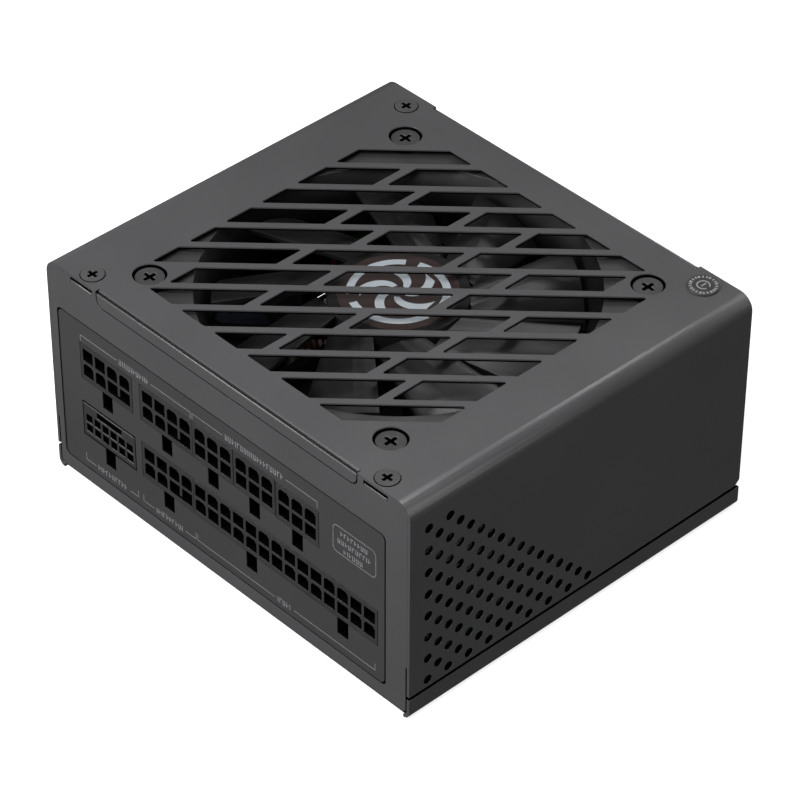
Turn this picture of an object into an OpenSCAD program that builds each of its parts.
// Compact desktop power supply: folded steel case, 92 mm top fan, modular socket panel,
// inlet panel with rocker switch, and the populated boards inside.
// Millimetres. X is the width, Y the depth with the sockets at -Y, Z up with the fan on top.
// The origin is at the middle of the case's underside.

/* [Case] */
// Width of the case
case_w = 125; // [124.8:0.1:126]
// Depth of the case from socket face to inlet face
case_d = 110; // [110:0.5:114]
// Height of the case
case_h = 63.5; // [63.5:0.1:65]
// Thickness of the folded steel sheet
sheet_t = 0.8; // [0.7:0.05:0.9]
// Outside radius of the cover's two long bends
cover_r = 4; // [3.6:0.1:4.4]
// Height of the chassis side lip
lip_h = 6; // [5.6:0.1:6.2]
// Gap between the side lip and the cover
seam_h = 1; // [0.6:0.1:1.2]
// Width of the cover's turned-down end tabs
tab_w = 89; // [86:1:90]
// Height of the cover's turned-down end tabs
tab_h = 4; // [3.6:0.1:4.2]

/* [Grille] */
// Side of the square grille opening
grille_w = 89.8; // [89:0.2:90]
// Width of one slot between two bars
slot_w = 6.2; // [5.6:0.1:6.6]
// Distance from bar to bar
slot_pitch = 8.08; // [8:0.02:8.12]
// Width of the short webs
web_w = 2.2; // [1.8:0.1:2.6]

/* [Side vents] */
// Diameter of one vent hole
vent_d = 2.5; // [2:0.1:2.9]
// Half of the hole spacing
vent_step = 3.24; // [3.16:0.02:3.28]

/* [Fan] */
// Number of fan blades
blade_count = 9; // [7:1:9]
// Sideways offset of the fan from the middle of the case
fan_x = 0.8; // [0.4:0.1:1]
// Radius of the fan's round duct
duct_r = 45; // [44.9:0.1:45.3]
// Radius of the duct's flared mouth
mouth_r = 48.2; // [47.6:0.1:48.4]
// Radius of the blade tips
blade_tip_r = 44; // [42:0.1:44.1]
// Thickness of one blade
blade_t = 1.2; // [1:0.1:1.4]

/* [Sockets] */
// Distance between neighbouring socket cells
cell_pitch = 4.475; // [4.455:0.005:4.475]
// Side of one square socket cell
cell_w = 3.7; // [3.4:0.1:3.8]
// Depth of the socket cells
cell_depth = 9; // [8:0.5:9.5]

/* [Inlet panel] */
// Hole spacing of the mounting screws across the panel
mount_x = 113; // [112:0.5:113]
// Hole spacing of the mounting screws up the panel
mount_z = 51.5; // [51:0.5:52]
// Radius of the mounting holes
mount_r = 1.75; // [1.6:0.05:1.8]
// Travel of the rocker switch in degrees
rocker_travel = 20; // [16:1:20]

/* [Hidden] */
$fn = 64;

hw = case_w / 2;
hd = case_d / 2;
foot_r = 2;
edge_fit = 0.05;
side_slot = 0.45;
side_slot_top = 15.7;
cover_low = lip_h + seam_h;
top_x = 0.7;
tab_fold = 1.2;
tab_corner = 2;
tab_gap = 0.4;
tab_crease = 0.28;
slot_round = 0.5;
flange_gap = 0.25;
flange_mid = 0.95;
flange_x = 50.45;
flange_w = 7.5;
flange_fold = 1.2;
flange_len = 8;
front_screw_y = -hd + 3.6;
rear_screw_y = hd - 5.2;
thread_r = 1.5;
screw_head = 0.2;
screw_sink = 0.45;
sink_r = 3.1;
under_top = case_h - sheet_t - edge_fit;

fan_y = -0.3;
fan_half = 49;
fan_top = case_h - 2;
fan_low = fan_top - 15;
fan_hole = 41.25;
mouth_h = 5.5;
hub_r = 17;
hub_top = case_h - 3.7;
cup_r = 14.3;
dimple_r = 4.2;
dimple_depth = 1.4;
dimple_floor = 0.55;
plug_x = -46.5;
plug_y = 23.6;
wire_y = [plug_y - 1.2, plug_y + 1.2];

recess_x0 = -59.5;
recess_x1 = 54.75;
recess_z0 = 5.25;
recess_z1 = 50.8;
recess_depth = 0.5;
label_t = 0.2;
label_gap = 0.75;
face_y = -hd + recess_depth - label_t;
socket_back = face_y + 11.5;
socket_board_t = 1.6;
socket_h = 10.6;
latch_w = 3.75;
latch_h = 4.87;
window_gap = 0.22;
hp_x = -42.35;
hp_z = 20.75;
hp_w = 19;
hp_h = 9.5;
hp_pitch = 3;
hp_cell = 2.3;
hp_cells_z = 19.83;
pin_half = 0.55;
hp_pin_half = 0.4;
signal_half = 0.2;
pin_fit = 0.03;

// Modular sockets: columns, centre across, centre up, left and right side walls, cell shapes of
// the upper and lower row, where r is a cell with clipped top corners and s a square one
SOCKETS = [
  [4, -42.35, 38.5, 0.4, 0.4, "ssrr", "rrss"],
  [4, -20.65, 38.5, 0.36, 0.36, "ssrr", "rrss"],
  [4, -20.75, 20.98, 0.4, 0.14, "ssrr", "rrss"],
  [3, -4.15, 38.5, 0.36, 0.36, "rrr", "sss"],
  [3, 10.25, 38.5, 0.36, 0.36, "rrr", "sss"],
  [3, 24.95, 38.1, 0.36, 0.5, "rrr", "sss"],
  [9, 8.73, 20.98, 0.14, -0.03, "srrssrrss", "rssrrssrr"],
  [5, 40.06, 20.98, -0.03, 0.4, "srrss", "rssrr"]];

board_z = 5;
board_t = 1.6;
board_top = board_z + board_t;
board_front = -38.5;
board_back = 38;
board_half = 54;
board_hole_x = 50;
board_hole_y = [-35, 34.5];

inlet_x = -27;
inlet_z = 31.75;
inlet_ear = 20;
inlet_flange = 1.2;
pin_side = 7;
pin_low = -2;
lead_r = 1.1;
switch_x = 11;
switch_z = 31.75;
pivot_y = hd - 3.4;
rocker_r = 8.3;

steel_dark = [0.13, 0.13, 0.135];
plastic_black = [0.03, 0.03, 0.032];
zinc = [0.7, 0.7, 0.7];
brass = [0.78, 0.62, 0.3];
copper = [0.75, 0.42, 0.22];
board_green = [0.05, 0.22, 0.12];
ferrite = [0.12, 0.12, 0.13];

// Box between two opposite corners
module block(low, high) {
  translate(low)
    cube(high - low);
}

// Cylinder that runs along +Y from a point
module along_y(x, y, z, r, length) {
  translate([x, y, z])
    rotate([-90, 0, 0])
      cylinder(r = r, h = length);
}

// Cylinder that runs along +X from a point
module along_x(x, y, z, r, length) {
  translate([x, y, z])
    rotate([0, 90, 0])
      cylinder(r = r, h = length);
}

// Upright cylinder between two heights
module upright(x, y, z0, z1, r) {
  translate([x, y, z0])
    cylinder(r = r, h = z1 - z0);
}

// Upright ring between two heights
module ring(x, y, z0, z1, r_out, r_in) {
  difference() {
    upright(x, y, z0, z1, r_out);
    upright(x, y, z0 - 1, z1 + 1, r_in);
  }
}

// Quarter of a disc in the XZ plane, on the side given by the two signs
module quarter_disc(x, y0, y1, z, r, sx, sz) {
  intersection() {
    along_y(x, y0, z, r, y1 - y0);
    translate([sx > 0 ? x : x - r - 1, y0 - 1, sz > 0 ? z : z - r - 1])
      cube([r + 1, y1 - y0 + 2, r + 1]);
  }
}

// Folded corner that runs along Y
module fold_along_y(x, y0, y1, z, r, sx, sz) {
  difference() {
    quarter_disc(x, y0, y1, z, r, sx, sz);
    along_y(x, y0 - 1, z, r - sheet_t, y1 - y0 + 2);
  }
}

// Folded corner that runs along X
module fold_along_x(x0, x1, y, z, r, sy, sz) {
  difference() {
    intersection() {
      along_x(x0, y, z, r, x1 - x0);
      translate([x0 - 1, sy > 0 ? y : y - r - 1, sz > 0 ? z : z - r - 1])
        cube([x1 - x0 + 2, r + 1, r + 1]);
    }
    along_x(x0 - 1, y, z, r - sheet_t, x1 - x0 + 2);
  }
}

// Plate in the XZ plane with rounded corners
module rounded_plate(x0, x1, z0, z1, y0, y1, r) {
  block([x0 + r, y0, z0], [x1 - r, y1, z1]);
  block([x0, y0, z0 + r], [x0 + r, y1, z1 - r]);
  block([x1 - r, y0, z0 + r], [x1, y1, z1 - r]);
  quarter_disc(x0 + r, y0, y1, z0 + r, r, -1, -1);
  quarter_disc(x1 - r, y0, y1, z0 + r, r, 1, -1);
  quarter_disc(x0 + r, y0, y1, z1 - r, r, -1, 1);
  quarter_disc(x1 - r, y0, y1, z1 - r, r, 1, 1);
}

// Outline of a turned-down tab with rounded lower corners
module tab_plate(half, low, high, y0, y1, r) {
  block([-half, y0, low + r], [half, y1, high]);
  block([-half + r, y0, low], [half - r, y1, low + r]);
  for (s = [-1, 1])
    quarter_disc(s * (half - r), y0, y1, low + r, r, s, -1);
}

// Cross recess of a Phillips screw, cut down from a height
module cross_recess(x, y, z, reach, depth) {
  for (turn = [0, 90])
    translate([x, y, z])
      rotate([0, 0, turn])
        block([-reach, -0.45, -depth], [reach, 0.45, 1]);
}

// ---------------------------------------------------------------- case

// Flange bent inwards under the cover, with a tapped hole for a cover screw
module screw_flange(hole_y) {
  flange_top = under_top - flange_gap;
  fold_along_x(-flange_w / 2, flange_w / 2, -hd + flange_fold, flange_top - flange_fold, flange_fold, -1, 1);
  difference() {
    block([-flange_w / 2, -hd + flange_fold, flange_top - sheet_t], [flange_w / 2, -hd + flange_len, flange_top]);
    upright(0, hole_y, under_top - 2, under_top + 1, thread_r + 0.05);
  }
}

// Upright end wall at -Y with its lower fold, tab notch and two screw flanges
module end_wall(hole_y) {
  shoulder = case_h - cover_r;
  wall_x = hw - sheet_t - edge_fit;
  difference() {
    union() {
      block([-hw + sheet_t + side_slot, -hd, foot_r], [hw - sheet_t - side_slot, -hd + sheet_t, side_slot_top]);
      block([-wall_x, -hd, side_slot_top], [wall_x, -hd + sheet_t, shoulder]);
      block([-hw + cover_r, -hd, shoulder], [hw - cover_r, -hd + sheet_t, under_top]);
      for (s = [-1, 1])
        quarter_disc(s * (hw - cover_r), -hd, -hd + sheet_t, shoulder, cover_r - sheet_t - edge_fit, s, 1);
    }
    translate([top_x, 0, case_h])
      tab_plate(tab_w / 2 + tab_gap, -tab_h - tab_gap, 1, -hd - 1, -hd + 2, tab_corner + tab_gap);
    for (s = [-1, 1])
      translate([flange_mid + s * flange_x, -hd - 1, under_top - flange_gap - flange_fold])
        block([-flange_w / 2 - 0.2, 0, 0], [flange_w / 2 + 0.2, 3, 3]);
  }
  fold_along_x(-hw + foot_r, hw - foot_r, -hd + foot_r, foot_r, foot_r, -1, -1);
  for (s = [-1, 1])
    translate([flange_mid + s * flange_x, 0, 0])
      screw_flange(hole_y);
}

function socket_left(s) = s[1] - s[0] * cell_pitch / 2 - s[3];
function socket_right(s) = s[1] + s[0] * cell_pitch / 2 + s[4];
function cell_x(s, i) = s[1] + (i - (s[0] - 1) / 2) * cell_pitch;
function cell_z(s, row) = s[2] + (0.5 - row) * cell_pitch;

// Windows for the socket bodies and their cable latches
module socket_windows(y0, y1) {
  for (s = SOCKETS) {
    block([socket_left(s) - window_gap, y0, s[2] - socket_h / 2 - window_gap],
      [socket_right(s) + window_gap, y1, s[2] + socket_h / 2 + window_gap]);
    block([s[1] - latch_w / 2, y0, s[2] - socket_h / 2 - window_gap - latch_h],
      [s[1] + latch_w / 2, y1, s[2]]);
  }
  block([hp_x - hp_w / 2 - 0.35, y0, hp_z - hp_h / 2 - 0.65],
    [hp_x + hp_w / 2 + 0.35, y1, hp_z + hp_h / 2 + 0.65]);
  block([hp_x - latch_w / 2, y0, hp_z - hp_h / 2 - 0.65 - latch_h], [hp_x + latch_w / 2, y1, hp_z]);
}

// Hexagonal vent holes through the inlet panel
module vent_field(x0, z0, columns, rows) {
  pitch = 6;
  for (row = [0 : rows - 1])
    for (col = [0 : columns - 1])
      translate([x0 + col * pitch + (row % 2) * pitch / 2, hd - 3, z0 + row * pitch * sqrt(3) / 2])
        rotate([-90, 0, 0])
          rotate([0, 0, 30])
            cylinder(r = 2.85, h = 6, $fn = 6);
}

// Mounting holes, inlet and switch cut-outs and the vent fields
module inlet_panel_cuts() {
  for (x = [-mount_x / 2, mount_x / 2])
    for (z = [-mount_z / 2, mount_z / 2])
      along_y(x, hd - 3, 31.75 + z, mount_r, 6);
  block([inlet_x - 13.7, hd - 3, inlet_z - 10], [inlet_x + 13.7, hd + 3, inlet_z + 10]);
  for (s = [-1, 1])
    along_y(inlet_x + s * inlet_ear, hd - 3, inlet_z, 1.7, 6);
  block([switch_x - 6.6, hd - 3, switch_z - 9.7], [switch_x + 6.6, hd + 3, switch_z + 9.7]);
  vent_field(24.4, 11.2, 5, 9);
  vent_field(-48.5, 11.2, 11, 2);
  vent_field(-48.5, 47.57, 11, 2);
}

module chassis() {
  color(steel_dark)
    difference() {
      union() {
        block([-hw + foot_r, -hd + foot_r, 0], [hw - foot_r, hd - foot_r, sheet_t]);
        for (s = [-1, 1]) {
          fold_along_y(s * (hw - foot_r), -hd, hd, foot_r, foot_r, s, -1);
          translate([s * (hw - sheet_t / 2), 0, 0])
            block([-sheet_t / 2, -hd, foot_r], [sheet_t / 2, hd, lip_h]);
        }
        end_wall(front_screw_y);
        mirror([0, 1, 0])
          end_wall(-rear_screw_y);
        rounded_plate(recess_x0 - sheet_t, recess_x1 + sheet_t, recess_z0 - sheet_t, recess_z1 + sheet_t,
          -hd + sheet_t, -hd + sheet_t + recess_depth, 2.4);
      }
      rounded_plate(recess_x0, recess_x1, recess_z0, recess_z1, -hd - 1, -hd + recess_depth, 1.6);
      socket_windows(-hd - 1, -hd + 3);
      inlet_panel_cuts();
    }
}

// Places of the short webs across the case, one list for each slot row from -Y to +Y
web_rows = [[30], [21.7], [-1.1, 25.5], [4.3, 29.5], [-16.2, 14.3], [-11.8, 18.2],
  [-22.9, 4.5], [-16.5, 8.4], [-26.8, -6], [-21.3], [-30.5]];

// Corners of one opening: a diagonal band about the fan's axis, cut off at x0, x1 and the grille's square
function opening(middle, width, x0, x1, reach) =
  let(
    low = (middle - width / 2) * sqrt(2),
    high = (middle + width / 2) * sqrt(2),
    a = max(x0, -reach - high),
    b = min(x1, reach - low))
  concat(
    a + low < -reach ? concat(a > -reach - high ? [[a, -reach]] : [], [[-reach - low, -reach]]) : [[a, a + low]],
    [[b, b + low]],
    b + high > reach ? concat(b < reach - low ? [[b, reach]] : [], [[reach - high, reach]]) : [[b, b + high]],
    [[a, a + high]]);

function unit(v) = v / norm(v);
function half_angle(p, q, r) = acos(unit(p - q) * unit(r - q)) / 2;

// Where a rounding touches the two sides of corner q, and the middle of that rounding
function touch_points(p, q, r, round) =
  let(along = round / tan(half_angle(p, q, r)))
  [q + unit(p - q) * along, q + unit(r - q) * along];
function round_middle(p, q, r, round) =
  q + unit(unit(p - q) + unit(r - q)) * round / sin(half_angle(p, q, r));

// Upright cut through the top sheet with rounded corners
module rounded_opening(points, round) {
  n = len(points);
  translate([0, 0, case_h - 4])
    linear_extrude(height = 5)
      polygon([for (i = [0 : n - 1])
        for (p = touch_points(points[(i + n - 1) % n], points[i], points[(i + 1) % n], round)) p]);
  for (i = [0 : n - 1]) {
    middle = round_middle(points[(i + n - 1) % n], points[i], points[(i + 1) % n], round);
    upright(middle[0], middle[1], case_h - 4, case_h + 1, round);
  }
}

// All openings of the fan grille, about the fan's axis
module grille_slots() {
  reach = grille_w / 2;
  for (k = [-5 : 5]) {
    webs = web_rows[k + 5];
    limit = k == 0 ? 36 : reach;
    middle = k * slot_pitch + (abs(k) == 5 ? sign(k) * 0.6 : 0);
    width = abs(k) == 5 ? slot_w + 1.1 : slot_w;
    for (i = [0 : len(webs)])
      rounded_opening(opening(middle, width,
        i == 0 ? -limit : webs[i - 1] + web_w / 2,
        i == len(webs) ? limit : webs[i] - web_w / 2, reach), slot_round);
  }
  for (s = [-1, 1])
    rounded_opening(opening(s * 49.4, slot_w - 0.3, -reach, reach, reach), slot_round);
}

// Side vent holes in staggered rows that widen downwards
module side_vents() {
  for (row = [0 : 14])
    for (i = [0 : floor(row / 2) + 1])
      along_x(hw - 3, -49.2 + (row % 2 + 2 * i) * vent_step, 54.55 - row * vent_step, vent_d / 2, 6);
}

// Turned-down tab at the -Y end of the cover
module cover_tab() {
  on_bend = tab_fold * (1 - sqrt(0.5)) + 0.1;
  difference() {
    fold_along_x(-tab_w / 2, tab_w / 2, -hd + tab_fold, case_h - tab_fold, tab_fold, -1, 1);
    along_x(-tab_w / 2 - 1, -hd + on_bend, case_h - on_bend, tab_crease, tab_w + 2);
  }
  tab_plate(tab_w / 2, case_h - tab_h, case_h - tab_fold, -hd, -hd + sheet_t, tab_corner);
}

module cover() {
  shoulder = case_h - cover_r;
  color(steel_dark)
    difference() {
      union() {
        difference() {
          block([-hw + cover_r, -hd, case_h - sheet_t], [hw - cover_r, hd, case_h]);
          for (m = [0, 1])
            mirror([0, m, 0])
              translate([top_x, 0, 0])
                block([-tab_w / 2 - 0.4, -hd - 1, case_h - 2], [tab_w / 2 + 0.4, -hd + tab_fold, case_h + 1]);
        }
        for (m = [0, 1])
          mirror([0, m, 0])
            translate([top_x, 0, 0])
              cover_tab();
        for (s = [-1, 1]) {
          fold_along_y(s * (hw - cover_r), -hd, hd, shoulder, cover_r, s, 1);
          translate([s * (hw - sheet_t / 2), 0, 0])
            block([-sheet_t / 2, -hd, cover_low], [sheet_t / 2, hd, shoulder]);
        }
        for (x = [-fan_hole, fan_hole])
          for (y = [-fan_hole, fan_hole])
            upright(fan_x + x, fan_y + y, case_h - dimple_depth - dimple_floor, case_h - sheet_t / 2,
              dimple_r + sheet_t);
      }
      translate([fan_x, fan_y, 0])
        grille_slots();
      side_vents();
      for (x = [-fan_hole, fan_hole])
        for (y = [-fan_hole, fan_hole]) {
          upright(fan_x + x, fan_y + y, case_h - dimple_depth, case_h + 1, dimple_r);
          upright(fan_x + x, fan_y + y, case_h - 4, case_h + 1, 2.2);
        }
      for (s = [-1, 1])
        for (y = [front_screw_y, rear_screw_y]) {
          upright(flange_mid + s * flange_x, y, case_h - 2, case_h + 1, thread_r + 0.2);
          upright(flange_mid + s * flange_x, y, case_h - screw_sink, case_h + 1, sink_r);
        }
      translate([0, hd, cover_low])
        rotate([45, 0, 0])
          cube([2 * case_w, 1.9, 1.9], center = true);
    }
}

// Printed overlay in the recess of the socket panel
module panel_label() {
  color([0.1, 0.1, 0.105])
    difference() {
      rounded_plate(recess_x0 + 0.05, recess_x1 - label_gap, recess_z0 + 0.05, recess_z1 - label_gap,
        face_y, -hd + recess_depth, 1.6);
      socket_windows(-hd - 1, -hd + 3);
    }
}

// Rating plate on the plain side of the cover
module rating_label() {
  label_y = 44;
  color([0.75, 0.75, 0.76])
    translate([-hw, 0, 0])
      rotate([0, 0, 90])
        rounded_plate(-label_y, label_y, 16, 52, 0, 0.12, 2);
}

// Round seal stuck over the right rear cover screw
module warranty_seal() {
  seal_h = screw_head + 0.2;
  color([0.04, 0.04, 0.04])
    difference() {
      upright(flange_mid + flange_x, rear_screw_y, case_h, case_h + seal_h, 4);
      upright(flange_mid + flange_x, rear_screw_y, case_h - 1, case_h + screw_head + 0.02, sink_r);
    }
}

// Four sunk pan-head screws that hold the cover to the chassis flanges
module cover_screws() {
  color(steel_dark)
    for (s = [-1, 1])
      for (y = [front_screw_y, rear_screw_y])
        difference() {
          union() {
            upright(flange_mid + s * flange_x, y, case_h - screw_sink, case_h + screw_head, 2.85);
            upright(flange_mid + s * flange_x, y, case_h - 5, case_h - screw_sink, thread_r);
          }
          cross_recess(flange_mid + s * flange_x, y, case_h + screw_head, 1.5, 1);
        }
}

// Four flat screws in the dimples that hold the fan
module fan_screws() {
  floor_z = case_h - dimple_depth;
  color(steel_dark)
    for (x = [-fan_hole, fan_hole])
      for (y = [-fan_hole, fan_hole])
        difference() {
          union() {
            upright(fan_x + x, fan_y + y, floor_z, floor_z + 0.75, 3.6);
            upright(fan_x + x, fan_y + y, floor_z - 9, floor_z, 1.9);
          }
          cross_recess(fan_x + x, fan_y + y, floor_z + 0.75, 1.8, 1.6);
        }
}

// ---------------------------------------------------------------- fan

// Square fan body with its duct, corner holes, four struts and motor seat
module fan_frame() {
  color([0.1, 0.1, 0.1])
    translate([fan_x, fan_y, 0]) {
      difference() {
        block([-fan_half, -fan_half, fan_low], [fan_half, fan_half, fan_top]);
        upright(0, 0, fan_low - 1, fan_top + 1, duct_r);
        translate([0, 0, fan_top - mouth_h])
          cylinder(r1 = duct_r, r2 = mouth_r, h = mouth_h + 0.001);
        for (x = [-fan_hole, fan_hole])
          for (y = [-fan_hole, fan_hole])
            upright(x, y, fan_low - 1, fan_top + 1, 2.15);
        for (m = [0, 90, 180, 270])
          rotate([0, 0, m])
            for (s = [-1, 1])
              translate([fan_half - 0.6, s * 42, fan_low + 4])
                block([0, -4, 0], [3, 4, 7]);
      }
      difference() {
        for (m = [0 : 3])
          rotate([0, 0, 45 + m * 90])
            block([14, -1.8, fan_low], [duct_r + 1, 1.8, fan_low + 1.5]);
        upright(0, 0, fan_low - 1, fan_low + 4, 14.5);
      }
      difference() {
        upright(0, 0, fan_low, fan_low + 1.4, 15.5);
        upright(0, 0, fan_low + 0.8, fan_low + 3, 14.3);
      }
      ring(0, 0, fan_low + 0.8, fan_low + 9, 4.2, 3.25);
    }
}

// Sleeve bearing in the fan's motor seat
module fan_bearing() {
  color(brass)
    ring(fan_x, fan_y, fan_low + 1.6, fan_low + 10, 3.2, 1.56);
}

// Four-pole iron core with coils around the bearing tube
module fan_stator() {
  color(copper)
    translate([fan_x, fan_y, 0]) {
      ring(0, 0, fan_low + 3.2, fan_low + 7.8, 6.4, 4.25);
      for (turn = [0, 90, 180, 270])
        rotate([0, 0, turn]) {
          block([5.6, -2.6, fan_low + 3], [9.6, 2.6, fan_low + 8]);
          block([9.6, -1.4, fan_low + 4.2], [10.4, 1.4, fan_low + 6.8]);
          intersection() {
            ring(0, 0, fan_low + 4.2, fan_low + 6.8, 11.2, 10.2);
            block([0, -6.2, fan_low + 3], [12, 6.2, fan_low + 9]);
          }
        }
    }
}

// Small round drive board under the stator
module fan_board() {
  color(board_green)
    ring(fan_x, fan_y, fan_low + 1.5, fan_low + 2.3, 12.4, 4.3);
}

// Curved plate cut out to one blade, before it is trimmed to the duct
module blade() {
  arc_y = -6.1;
  arc_z = fan_low - 13.5;
  arc_r = 26;
  intersection() {
    difference() {
      along_x(5, arc_y, arc_z, arc_r, 42);
      along_x(4, arc_y, arc_z, arc_r - blade_t, 44);
    }
    translate([0, 0, fan_low + 2.2])
      linear_extrude(height = 10.6)
        polygon([[15, -6.8], [46, -6.8], [46, -27.6], [10, -16.6]]);
  }
}

// Impeller: hub cup and blades
module fan_rotor() {
  color([0.05, 0.05, 0.055])
    translate([fan_x, fan_y, 0]) {
      intersection() {
        for (i = [0 : blade_count - 1])
          rotate([0, 0, i * 360 / blade_count])
            blade();
        ring(0, 0, fan_low, fan_top, blade_tip_r, hub_r - 0.5);
      }
      difference() {
        upright(0, 0, fan_low + 1.9, hub_top, hub_r);
        upright(0, 0, fan_low, hub_top - 1.3, cup_r);
      }
    }
}

// Steel shaft pressed into the hub
module fan_shaft() {
  color(zinc)
    upright(fan_x, fan_y, fan_low + 2.2, hub_top - 1.3, 1.5);
}

// Ring magnet with its steel cup inside the hub
module fan_magnet() {
  color(ferrite)
    ring(fan_x, fan_y, fan_low + 2.6, fan_low + 10, cup_r, 11.7);
}

// Round sticker on the hub
module hub_sticker() {
  color([0.13, 0.09, 0.085])
    upright(fan_x, fan_y, hub_top, hub_top + 0.12, 14.6);
}

// One of the two fan wires, straight up from its plug to the underside of the fan
module fan_wire(y) {
  upright(plug_x, y, 19.02, fan_low - 0.02, 0.75);
}

module fan_lead_red() {
  color([0.6, 0.05, 0.04])
    fan_wire(wire_y[0]);
}

module fan_lead_black() {
  color(plastic_black)
    fan_wire(wire_y[1]);
}

// Plug on the end of the fan wires
module fan_plug() {
  color([0.85, 0.84, 0.8])
    difference() {
      union() {
        block([plug_x - 2, plug_y - 3.2, 12.4], [plug_x + 2, plug_y + 3.2, 19]);
        block([plug_x - 2.7, plug_y - 1.5, 13.5], [plug_x - 2, plug_y + 1.5, 18]);
      }
      for (y = wire_y)
        upright(plug_x, y, 11, 16, 0.55);
    }
}

// Two-pin header that the fan plug sits in
module fan_header() {
  color([0.85, 0.84, 0.8]) {
    difference() {
      block([plug_x - 3.6, plug_y - 4.1, board_top + 0.02], [plug_x + 2.9, plug_y + 4.1, 12.2]);
      block([plug_x - 3, plug_y - 3.4, board_top + 1.5], [plug_x + 2.2, plug_y + 3.4, 13]);
    }
    for (y = wire_y)
      upright(plug_x, y, board_top + 1.4, 15.5, 0.45);
  }
}

// ---------------------------------------------------------------- sockets

// One cell, seen from the front; r has its two top corners clipped
module cell_shape(shape) {
  h = cell_w / 2;
  clip = shape == "r" ? 0.75 : 0.02;
  polygon([[-h, -h], [h, -h], [h, h - clip], [h - clip, h], [clip - h, h], [-h, h - clip]]);
}

// Places of one row of cells, with row 0 above row 1
module at_cells(s, row) {
  for (i = [0 : s[0] - 1])
    translate([cell_x(s, i), 0, cell_z(s, row)])
      children();
}

// Places of the twelve power cells of the high-power socket
module at_power_cells() {
  for (row = [-1, 1])
    for (i = [0 : 5])
      translate([hp_x + (i - 2.5) * hp_pitch, 0, hp_cells_z + row * hp_pitch / 2])
        children();
}

// Places of the four signal pins of the high-power socket
module at_signal_pins() {
  for (i = [0 : 3])
    translate([hp_x + (i - 1.5) * 2, 0, 24.1])
      children();
}

// Square pin from its tip to its solder tail
module pin(half) {
  block([-half, face_y + 3, -half], [half, socket_back + socket_board_t + 0.8, half]);
}

// Latch catch under a socket, a wedge that faces the latch window
module latch_catch(x, low) {
  translate([x - 1.6, 0, low])
    rotate([90, 0, 90])
      linear_extrude(height = 3.2)
        polygon([[face_y + 1.6, 0], [face_y + 5.6, 0], [face_y + 5.6, -1.7], [face_y + 4.8, -1.7]]);
}

// Socket body with its cells, its latch catch and the extra key of the eight-cell types
module socket(s) {
  low = s[2] - socket_h / 2;
  color(plastic_black) {
    difference() {
      block([socket_left(s), face_y, low], [socket_right(s), socket_back, s[2] + socket_h / 2]);
      for (row = [0, 1]) {
        for (i = [0 : s[0] - 1])
          translate([cell_x(s, i), face_y + cell_depth, cell_z(s, row)])
            rotate([90, 0, 0])
              linear_extrude(height = cell_depth + 1)
                cell_shape(s[5 + row][i]);
        at_cells(s, row)
          pin(pin_half + pin_fit);
      }
      if (s[0] == 4)
        translate([s[1] + cell_pitch, face_y, s[2] - cell_pitch])
          block([-0.6, -1, 0.4], [0.6, 4, 1.4]);
    }
    latch_catch(s[1], low);
  }
}

module socket_8pin_a() { socket(SOCKETS[0]); }
module socket_8pin_b() { socket(SOCKETS[1]); }
module socket_8pin_c() { socket(SOCKETS[2]); }
module socket_6pin_a() { socket(SOCKETS[3]); }
module socket_6pin_b() { socket(SOCKETS[4]); }
module socket_6pin_c() { socket(SOCKETS[5]); }
module socket_18pin() { socket(SOCKETS[6]); }
module socket_10pin() { socket(SOCKETS[7]); }

// High-power graphics socket: twelve power cells under a slot with four signal pins
module socket_16pin() {
  color(plastic_black) {
    difference() {
      block([hp_x - hp_w / 2, face_y, hp_z - hp_h / 2], [hp_x + hp_w / 2, socket_back, hp_z + hp_h / 2]);
      at_power_cells() {
        block([-hp_cell / 2, face_y - 1, -hp_cell / 2], [hp_cell / 2, face_y + cell_depth, hp_cell / 2]);
        pin(hp_pin_half + pin_fit);
      }
      at_signal_pins()
        pin(signal_half + pin_fit);
      block([hp_x - 4.6, face_y - 1, 23.2], [hp_x + 4.6, face_y + 7, 24.95]);
    }
    latch_catch(hp_x, hp_z - hp_h / 2);
  }
}

// Contact pins of all sockets, made larger by the given amount
module contact_pins(grow) {
  for (s = SOCKETS)
    for (row = [0, 1])
      at_cells(s, row)
        pin(pin_half + grow);
  at_power_cells()
    pin(hp_pin_half + grow);
  at_signal_pins()
    pin(signal_half + grow);
}

module socket_pins() {
  color(brass)
    contact_pins(0);
}

// Upright board that carries the sockets
module socket_board() {
  color(board_green)
    difference() {
      block([-53.5, socket_back + 0.02, 9], [53.5, socket_back + socket_board_t, 45]);
      for (x = [-51.5, 51.5])
        along_y(x, socket_back - 1, 30, 1.2, 5);
      contact_pins(pin_fit);
    }
}

// Three copper bars between the main board and the socket board
module link_bars() {
  back = socket_back + socket_board_t;
  color(copper)
    for (x = [-4, 18, 38]) {
      block([x - 3, back + 0.02, 10.2], [x + 3, board_front + 3, 11.4]);
      block([x - 3, board_front + 1.8, board_top + 0.02], [x + 3, board_front + 3, 10.2]);
      block([x - 3, back + 0.02, 11.4], [x + 3, back + 1.22, 14]);
    }
}

// ---------------------------------------------------------------- boards

module main_board() {
  color(board_green)
    difference() {
      block([-board_half, board_front, board_z], [board_half, board_back, board_top]);
      for (x = [-board_hole_x, board_hole_x])
        for (y = board_hole_y)
          upright(x, y, board_z - 1, board_top + 1, 1.7);
    }
}

// Four hexagonal spacers between the chassis floor and the main board
module board_standoffs() {
  color(brass)
    for (x = [-board_hole_x, board_hole_x])
      for (y = board_hole_y)
        difference() {
          translate([x, y, sheet_t])
            cylinder(r = 3, h = board_z - sheet_t, $fn = 6);
          upright(x, y, sheet_t + 0.6, board_z + 1, 1.52);
        }
}

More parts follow.
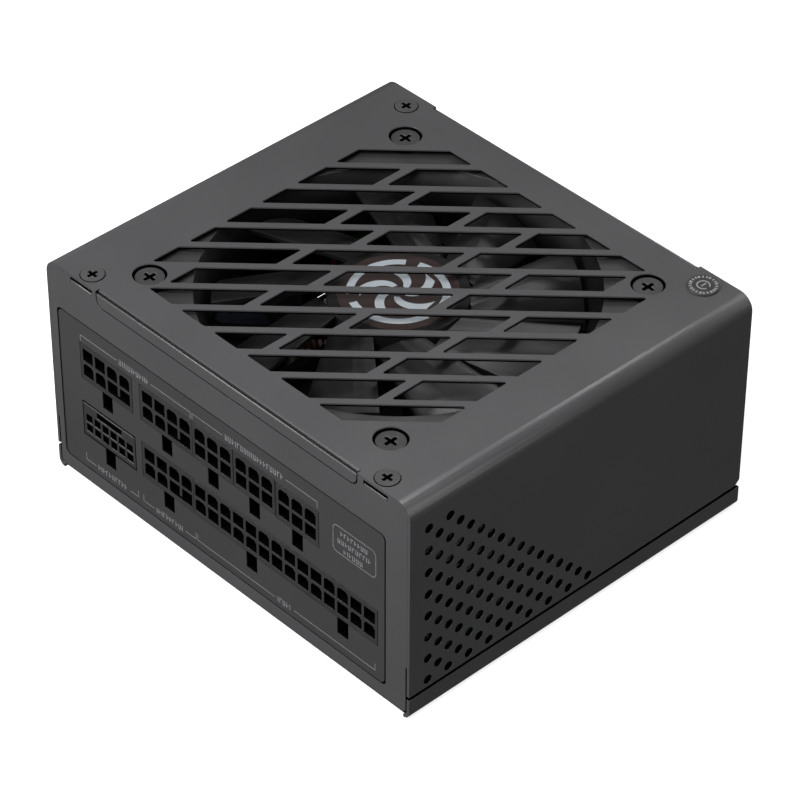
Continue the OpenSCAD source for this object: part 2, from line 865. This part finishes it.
// Four screws that hold the main board down
module board_screws() {
  color(zinc)
    for (x = [-board_hole_x, board_hole_x])
      for (y = board_hole_y)
        difference() {
          union() {
            upright(x, y, board_top, board_top + 1.5, 2.7);
            upright(x, y, board_top - 4.6, board_top, thread_r);
          }
          cross_recess(x, y, board_top + 1.5, 1.4, 1);
        }
}

// Insulating film between the chassis floor and the main board
module insulating_sheet() {
  color([0.08, 0.08, 0.085])
    difference() {
      block([-56, -48, sheet_t + 0.02], [56, 46, sheet_t + 0.3]);
      for (x = [-board_hole_x, board_hole_x])
        for (y = board_hole_y)
          upright(x, y, 0, 3, 3.4);
    }
}

// ---------------------------------------------------------------- inlet and switch

// Mouth of the inlet: a box with two clipped corners
module inlet_mouth(grow, y0, y1) {
  w = 12.2 + grow;
  h = 8.4 + grow;
  clip = 4.4;
  translate([inlet_x, y1, inlet_z])
    rotate([90, 0, 0])
      linear_extrude(height = y1 - y0)
        polygon([[-w, -h], [w, -h], [w, h - clip], [w - clip, h], [clip - w, h], [-w, h - clip]]);
}

// Three-pin mains inlet with two screw ears
module ac_inlet() {
  color(plastic_black)
    difference() {
      union() {
        translate([inlet_x, 0, inlet_z])
          rounded_plate(-25, 25, -11, 11, hd, hd + inlet_flange, 3);
        inlet_mouth(1.2, hd - 17.5, hd);
      }
      inlet_mouth(0, hd - 15.4, hd + 3);
      for (s = [-1, 1]) {
        along_y(inlet_x + s * inlet_ear, hd - 1, inlet_z, 1.6, 4);
        translate([inlet_x + s * inlet_ear, hd + inlet_flange - 1.1, inlet_z])
          rotate([-90, 0, 0])
            cylinder(r1 = 1.6, r2 = 3.1, h = 1.2);
      }
      for (p = [[-pin_side, pin_low], [pin_side, pin_low], [0, -pin_low]])
        translate([inlet_x + p[0], hd - 20, inlet_z + p[1]])
          block([-1.02, 0, -2.02], [1.02, 8, 2.02]);
    }
}

// Blades of the inlet with their solder tails
module inlet_pins() {
  color(zinc)
    for (p = [[-pin_side, pin_low], [pin_side, pin_low], [0, -pin_low]])
      translate([inlet_x + p[0], 0, inlet_z + p[1]]) {
        block([-1, hd - 19, -2], [1, hd - 2.6, 2]);
        block([-0.6, hd - 1.6 - 1, -1.6], [0.6, hd - 2, 1.6]);
        block([-0.4, hd - 24, -1.2], [0.4, hd - 19, 1.2]);
      }
}

// Two flat-head screws of the inlet
module inlet_screws() {
  top = hd + inlet_flange;
  color(zinc)
    for (s = [-1, 1])
      translate([inlet_x + s * inlet_ear, 0, inlet_z])
        difference() {
          union() {
            translate([0, top - 1.05, 0])
              rotate([-90, 0, 0])
                cylinder(r1 = 1.5, r2 = 2.95, h = 1.05);
            along_y(0, hd - 5, 0, 1.5, inlet_flange + 4.2);
          }
          for (turn = [0, 90])
            rotate([0, turn, 0])
              block([-1.6, top - 0.8, -0.4], [1.6, top + 1, 0.4]);
        }
}

// Two hexagon nuts on the inlet screws
module inlet_nuts() {
  color(zinc)
    for (s = [-1, 1])
      translate([inlet_x + s * inlet_ear, hd - sheet_t - (s < 0 ? 3.3 : 2.4), inlet_z])
        rotate([-90, 0, 0])
          difference() {
            cylinder(r = 3.1, h = 2.3, $fn = 6);
            translate([0, 0, -1])
              cylinder(r = 1.53, h = 5);
          }
}

// Switch body with bezel, rocker well and pivot holes
module switch_housing() {
  color(plastic_black)
    translate([switch_x, 0, switch_z])
      difference() {
        union() {
          rounded_plate(-7.5, 7.5, -10.5, 10.5, hd, hd + 1.2, 1);
          block([-6.4, hd - 13, -9.5], [6.4, hd, 9.5]);
        }
        block([-5.1, hd - 0.01, -8.1], [5.1, hd + 3, 8.1]);
        block([-5.1, hd - 11.6, -8.65], [5.1, hd, 8.65]);
        along_x(-5.8, pivot_y, 0, 1.25, 11.6);
      }
}

// Rocker with a shallow V face, tipped to its off end
module switch_rocker() {
  tilt = rocker_travel / 2;
  face = 3.5;
  face_end = face + 9 * tan(tilt);
  color([0.05, 0.05, 0.052])
    translate([switch_x, pivot_y, switch_z])
      rotate([-tilt, 0, 0]) {
        intersection() {
          along_x(-4.7, 0, 0, rocker_r, 9.4);
          rotate([90, 0, 90])
            linear_extrude(height = 20, center = true)
              polygon([[-2.4, -9], [face_end, -9], [face, 0], [face_end, 9], [-2.4, 9]]);
        }
        along_x(-5.6, 0, 0, 1.18, 11.2);
      }
}

// Solder tabs of the switch
module switch_tabs() {
  color(brass)
    for (z = [-5.5, 5.5])
      translate([switch_x, 0, switch_z + z])
        block([-0.4, hd - 21, -2.2], [0.4, hd - 13, 2.2]);
}

// Quarter turn of a wire in the XY plane
module wire_turn(x, y, z, start) {
  translate([x, y, z])
    rotate([0, 0, start])
      rotate_extrude(angle = 90)
        translate([3, 0])
          circle(r = lead_r);
}

// Mains wires from the inlet to the switch and down to the board
module ac_leads() {
  z = inlet_z + pin_low;
  live_x = inlet_x + pin_side;
  neutral_x = inlet_x - pin_side;
  run_y = 26;
  color([0.32, 0.17, 0.08]) {
    along_y(live_x, run_y + 3, z, lead_r, hd - 24 - run_y - 3.1);
    wire_turn(live_x + 3, run_y + 3, z, 180);
    along_x(live_x + 3, run_y, z, lead_r, switch_x - live_x - 6);
    wire_turn(switch_x - 3, run_y + 3, z, 270);
    along_y(switch_x, run_y + 3, z, lead_r, hd - 21 - run_y - 3.1);
  }
  color([0.1, 0.2, 0.5]) {
    along_y(neutral_x, run_y + 3, z, lead_r, hd - 24 - run_y - 3.1);
    translate([neutral_x, run_y + 3, z - 3])
      rotate([180, -90, 0])
        rotate_extrude(angle = 90)
          translate([3, 0])
            circle(r = lead_r);
    upright(neutral_x, run_y, board_top + 0.02, z - 3, lead_r);
  }
}

// Earth wire with a ring lug under one of the inlet nuts
module earth_lead() {
  z = inlet_z - pin_low;
  end_x = inlet_x - inlet_ear;
  lug_y = hd - sheet_t - 0.85;
  run_y = 27.5;
  color([0.2, 0.45, 0.12]) {
    along_y(inlet_x, run_y + 3, z, lead_r, hd - 24 - run_y - 3.1);
    wire_turn(inlet_x - 3, run_y + 3, z, 270);
    along_x(end_x + 3, run_y, z, lead_r, inlet_x - end_x - 6);
    wire_turn(end_x + 3, run_y + 3, z, 180);
    along_y(end_x, run_y + 3, z, lead_r, hd - sheet_t - 4.2 - run_y - 3);
    difference() {
      union() {
        along_y(end_x, lug_y, inlet_z, 3.3, 0.8);
        block([end_x - 1.1, lug_y, inlet_z], [end_x + 1.1, lug_y + 0.8, inlet_z + 5]);
        block([end_x - 1.1, lug_y - 3.45, inlet_z + 3.4], [end_x + 1.1, lug_y, inlet_z + 5]);
      }
      along_y(end_x, hd - 5, inlet_z, 1.6, 6);
    }
  }
}

// ---------------------------------------------------------------- components

// Ring core with round winding turns around it
module wound_ring(x, y, z, r_mid, r_core, r_wire, turns) {
  translate([x, y, z]) {
    rotate_extrude()
      translate([r_mid, 0])
        square([2 * r_core, 2 * r_core], center = true);
    for (i = [0 : turns - 1])
      rotate([0, 0, i * 360 / turns])
        translate([r_mid, 0, 0])
          rotate([90, 0, 0])
            translate([0, 0, -r_wire])
              difference() {
                cylinder(r = r_core * 1.35 + 2 * r_wire, h = 2 * r_wire);
                translate([0, 0, -1])
                  cylinder(r = r_core * 1.35, h = 2 * r_wire + 2);
              }
  }
}

// Common-mode choke of the mains filter
module emi_choke() {
  color(copper)
    wound_ring(-37, 9, board_top + 4.6, 7.2, 2.4, 0.45, 18);
}

// Boxed film capacitor of the mains filter
module x_capacitor() {
  color([0.85, 0.65, 0.1]) {
    block([-22, 28, board_top + 0.5], [-4, 36, board_top + 13]);
    for (x = [-20, -6])
      upright(x, 32, board_top + 0.02, board_top + 0.5, 0.4);
  }
}

// Two disc capacitors of the mains filter
module y_capacitors() {
  color([0.1, 0.25, 0.55])
    for (x = [2, 8.5]) {
      along_x(x, 15, board_top + 7, 4.2, 3.2);
      for (y = [12.6, 17.4])
        upright(x + 1.6, y, board_top + 0.02, board_top + 5, 0.35);
    }
}

// Ceramic fuse with two metal caps in its clips
module fuse() {
  fuse_y = 22;
  fuse_z = board_top + 4.2;
  color([0.9, 0.89, 0.85])
    along_x(5, fuse_y, fuse_z, 2.5, 12);
  color(zinc)
    for (x = [0.5, 16.98]) {
      along_x(x, fuse_y, fuse_z, 2.7, 4.5);
      block([x + 1, fuse_y - 3.2, board_top + 0.02], [x + 3.5, fuse_y + 3.2, fuse_z - 1]);
    }
}

// Flat bridge rectifier standing on its leads
module bridge_rectifier() {
  color([0.06, 0.06, 0.065])
    difference() {
      block([-52.5, -6, board_top + 4], [-49, 14, board_top + 19]);
      along_x(-60, 4, board_top + 12, 1.6, 20);
    }
  color(zinc)
    for (y = [-2.5, 1.8, 6.2, 10.5])
      block([-51.2, y - 0.6, board_top + 0.02], [-50.4, y + 0.6, board_top + 4]);
}

// Choke of the power-factor stage, standing on a small base
module boost_choke() {
  color(copper)
    translate([-31, -8.3, board_top + 13.4])
      rotate([90, 0, 0])
        wound_ring(0, 0, 0, 8, 2.6, 0.55, 18);
  color([0.1, 0.1, 0.11])
    block([-37, -12, board_top + 0.02], [-25, -4.6, board_top + 2.5]);
}

// Large storage capacitor with its crimp groove and pressed vent
module bulk_capacitor() {
  cap_x = -34;
  cap_y = -25;
  color([0.07, 0.07, 0.09])
    difference() {
      upright(cap_x, cap_y, board_top + 0.02, board_top + 36, 11);
      ring(cap_x, cap_y, board_top + 3, board_top + 4.2, 12, 10.3);
      for (turn = [0, 60, 120])
        translate([cap_x, cap_y, board_top + 35.6])
          rotate([0, 0, turn])
            block([-8, -0.4, 0], [8, 0.4, 2]);
    }
}

// Comb-shaped aluminium heatsink, a plate with fins on its +X side
module heatsink(x, y0, y1, z1) {
  block([x, y0, board_top + 2], [x + 2.6, y1, z1]);
  for (z = [board_top + 10 : 6 : z1 - 2])
    block([x + 2.6, y0, z], [x + 7, y1, z + 1.4]);
  for (y = [y0 + 4, y1 - 4])
    upright(x + 1.3, y, board_top + 0.02, board_top + 2, 1.1);
}

module primary_heatsink() {
  color([0.6, 0.61, 0.62])
    heatsink(-13, -34, 6, 42);
}

module rectifier_heatsink() {
  color([0.6, 0.61, 0.62])
    heatsink(27, -32, 8, 40);
}

// One transistor with its tab, body and three legs, standing against a heatsink
module transistor(x, y) {
  color([0.05, 0.05, 0.055])
    block([x - 4.4, y - 5, board_top + 9], [x - 1.3, y + 5, board_top + 18]);
  color(zinc) {
    difference() {
      block([x - 1.3, y - 5, board_top + 9], [x - 0.05, y + 5, board_top + 24]);
      along_x(x - 3, y, board_top + 21, 1.9, 5);
    }
    for (leg = [-2.5, 0, 2.5])
      block([x - 3.2, y + leg - 0.4, board_top + 0.02], [x - 2.7, y + leg + 0.4, board_top + 9]);
  }
}

module power_transistors() {
  for (y = [-27, -14, -1])
    transistor(-13, y);
  for (y = [-25, -12, 1])
    transistor(27, y);
}

// Ferrite core of the main transformer, open on two sides for the winding
module transformer_core() {
  color(ferrite)
    difference() {
      block([-4, -24, board_top + 5], [20, 4, board_top + 29]);
      block([-5, -19.5, board_top + 9], [21, -0.5, board_top + 25]);
    }
}

// Bobbin and taped winding of the main transformer
module transformer_winding() {
  color([0.8, 0.65, 0.15]) {
    block([-4.6, -19.2, board_top + 9.3], [20.6, -0.8, board_top + 24.7]);
    block([-4.6, -18.6, board_top + 1.6], [-4.05, -1.4, board_top + 9.3]);
    block([20.05, -18.6, board_top + 1.6], [20.6, -1.4, board_top + 9.3]);
    for (x = [-4.33, 20.33])
      for (y = [-16, -10, -4])
        upright(x, y, board_top + 0.02, board_top + 1.6, 0.27);
  }
}

// Eight solid-polymer output capacitors
module output_capacitors() {
  color([0.72, 0.72, 0.74])
    for (x = [41.2, 50])
      for (i = [0 : 3])
        difference() {
          upright(x, -25.5 + i * 8.8, board_top + 0.02, board_top + 12, 4);
          ring(x, -25.5 + i * 8.8, board_top + 1.6, board_top + 2.4, 5, 3.6);
        }
}

// Output filter choke
module output_choke() {
  color(copper)
    wound_ring(43, 17.5, board_top + 4.4, 6.8, 2.2, 0.5, 16);
}

// Upright control board with its chips
module control_board() {
  color(board_green)
    block([22, 31, board_top + 0.02], [46.5, 32.2, board_top + 22]);
  color([0.05, 0.05, 0.055]) {
    block([28, 29.9, board_top + 9], [38, 31, board_top + 13]);
    block([40, 29.9, board_top + 12], [45.5, 31, board_top + 18]);
    block([29, 32.2, board_top + 12], [35, 33.3, board_top + 16]);
  }
}

// Small transformer of the standby supply
module standby_transformer() {
  color(ferrite)
    difference() {
      block([14, 10, board_top + 2], [28, 22 - 4.4, board_top + 14]);
      block([13, 11.6, board_top + 4.4], [29, 16, board_top + 11.6]);
    }
  color([0.8, 0.65, 0.15]) {
    block([13.5, 11.8, board_top + 4.6], [28.5, 15.8, board_top + 11.4]);
    block([14.5, 10.4, board_top + 0.02], [27.5, 17.2, board_top + 1.98]);
  }
}

chassis();
cover();
panel_label();
rating_label();
warranty_seal();
cover_screws();
fan_screws();
fan_frame();
fan_bearing();
fan_stator();
fan_board();
fan_rotor();
fan_shaft();
fan_magnet();
hub_sticker();
fan_lead_red();
fan_lead_black();
fan_plug();
fan_header();
socket_8pin_a();
socket_8pin_b();
socket_8pin_c();
socket_6pin_a();
socket_6pin_b();
socket_6pin_c();
socket_18pin();
socket_10pin();
socket_16pin();
socket_pins();
socket_board();
link_bars();
main_board();
board_standoffs();
board_screws();
insulating_sheet();
ac_inlet();
inlet_pins();
inlet_screws();
inlet_nuts();
switch_housing();
switch_rocker();
switch_tabs();
ac_leads();
earth_lead();
emi_choke();
x_capacitor();
y_capacitors();
fuse();
bridge_rectifier();
boost_choke();
bulk_capacitor();
primary_heatsink();
power_transistors();
transformer_core();
transformer_winding();
rectifier_heatsink();
output_capacitors();
output_choke();
control_board();
standby_transformer();
